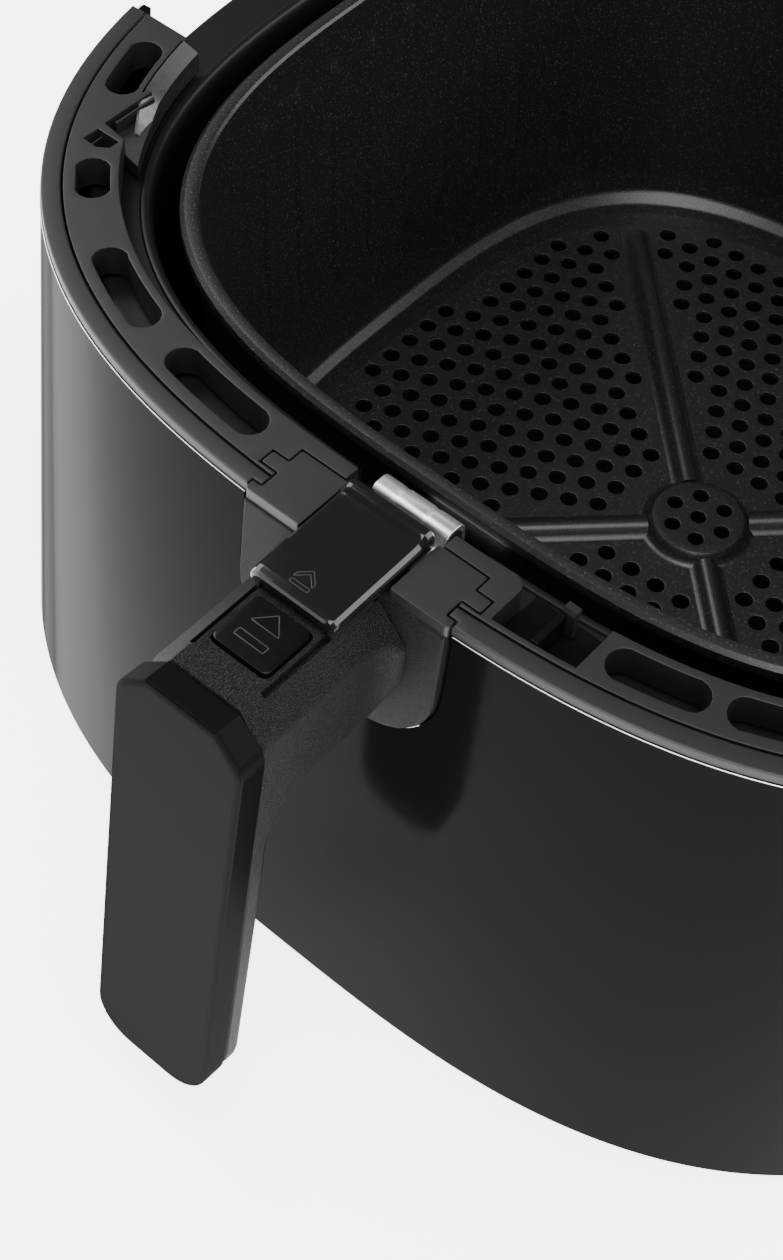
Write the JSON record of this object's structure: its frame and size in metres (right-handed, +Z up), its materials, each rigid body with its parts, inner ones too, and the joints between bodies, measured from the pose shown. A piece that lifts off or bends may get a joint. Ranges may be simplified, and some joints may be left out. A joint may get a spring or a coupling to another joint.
{
  "type": "air fryer drawer",
  "caption": "Pull-out air fryer drawer: dark front shell, pan and lift-out perforated basket with a handle that has a slide cover over its release button.",
  "frame": {"origin": "on the surface the drawer stands on, below the basket's vertical centre axis, on the pan's flat underside", "axes": "+Z up, -Y towards the handle and the user, +X to the user's right"},
  "size_m": [0.3112, 0.3461, 0.1454],
  "materials": {
    "shell_paint": "satin dark grey metallic paint",
    "ring_plastic": "matte dark grey moulding",
    "nonstick_coating": "black non-stick coating on steel, speckled on the rim",
    "textured_plastic": "fine spark-eroded grain",
    "satin_plastic": "smooth satin black",
    "gloss_cover": "polished black",
    "stainless_sheet": "brushed stainless sheet",
    "zinc_steel": "zinc plated",
    "silicone": "matte black silicone",
    "clip_plastic": "grey acetal"
  },
  "bodies": {
    "drawer": {"pan": "nonstick_coating", "front_shell": "shell_paint", "ring_frame": "ring_plastic", "outer_lip_left": "ring_plastic", "outer_lip_right": "ring_plastic", "base_frame": "ring_plastic", "recess_insert": "ring_plastic", "snap_clip": "clip_plastic", "latch_catch": "stainless_sheet", "side_panel_left": "ring_plastic", "side_panel_right": "ring_plastic", "panel_screw_left_1": "zinc_steel", "panel_screw_left_2": "zinc_steel", "panel_screw_right_1": "zinc_steel", "panel_screw_right_2": "zinc_steel"},
    "basket": {"basket": "nonstick_coating", "basket_foot_1": "silicone", "basket_foot_2": "silicone", "basket_foot_3": "silicone", "basket_foot_4": "silicone", "hanger_bracket": "stainless_sheet", "hanger_rivet_1": "stainless_sheet", "hanger_rivet_2": "stainless_sheet", "handle_mount": "textured_plastic", "handle_arm": "textured_plastic", "grip_cap": "satin_plastic", "handle_screw_1": "zinc_steel", "handle_screw_2": "zinc_steel", "latch_pin": "zinc_steel", "button_spring": "zinc_steel"},
    "slide_cover": {"slide_cover": "gloss_cover", "cover_runner_left": "textured_plastic", "cover_runner_right": "textured_plastic"},
    "release_button": {"release_button": "textured_plastic"},
    "latch_lever": {"latch_lever": "clip_plastic"}
  },
  "joints": [
    {"name": "basket_lift", "type": "slide", "parent": "drawer", "child": "basket", "axis": [0, 0, 1], "range_m": [0, 0.135]},
    {"name": "cover_slide", "type": "slide", "parent": "basket", "child": "slide_cover", "axis": [0, -1, 0], "range_m": [0, 0.0165]},
    {"name": "button_press", "type": "slide", "parent": "basket", "child": "release_button", "axis": [0, 0, -1], "range_m": [0, 0.0025], "stiffness_N_per_m": 900, "springref_m": -0.0025, "deforming": ["button_spring"]},
    {"name": "latch_pivot", "type": "hinge", "parent": "basket", "child": "latch_lever", "pos_m": [0, -0.156, 0.114], "axis": [1, 0, 0], "range_deg": [0, 8.8]}
  ],
  "couplings": [
    {"joint": "latch_pivot", "follows": "button_press", "rad_per_m": 61}
  ]
}
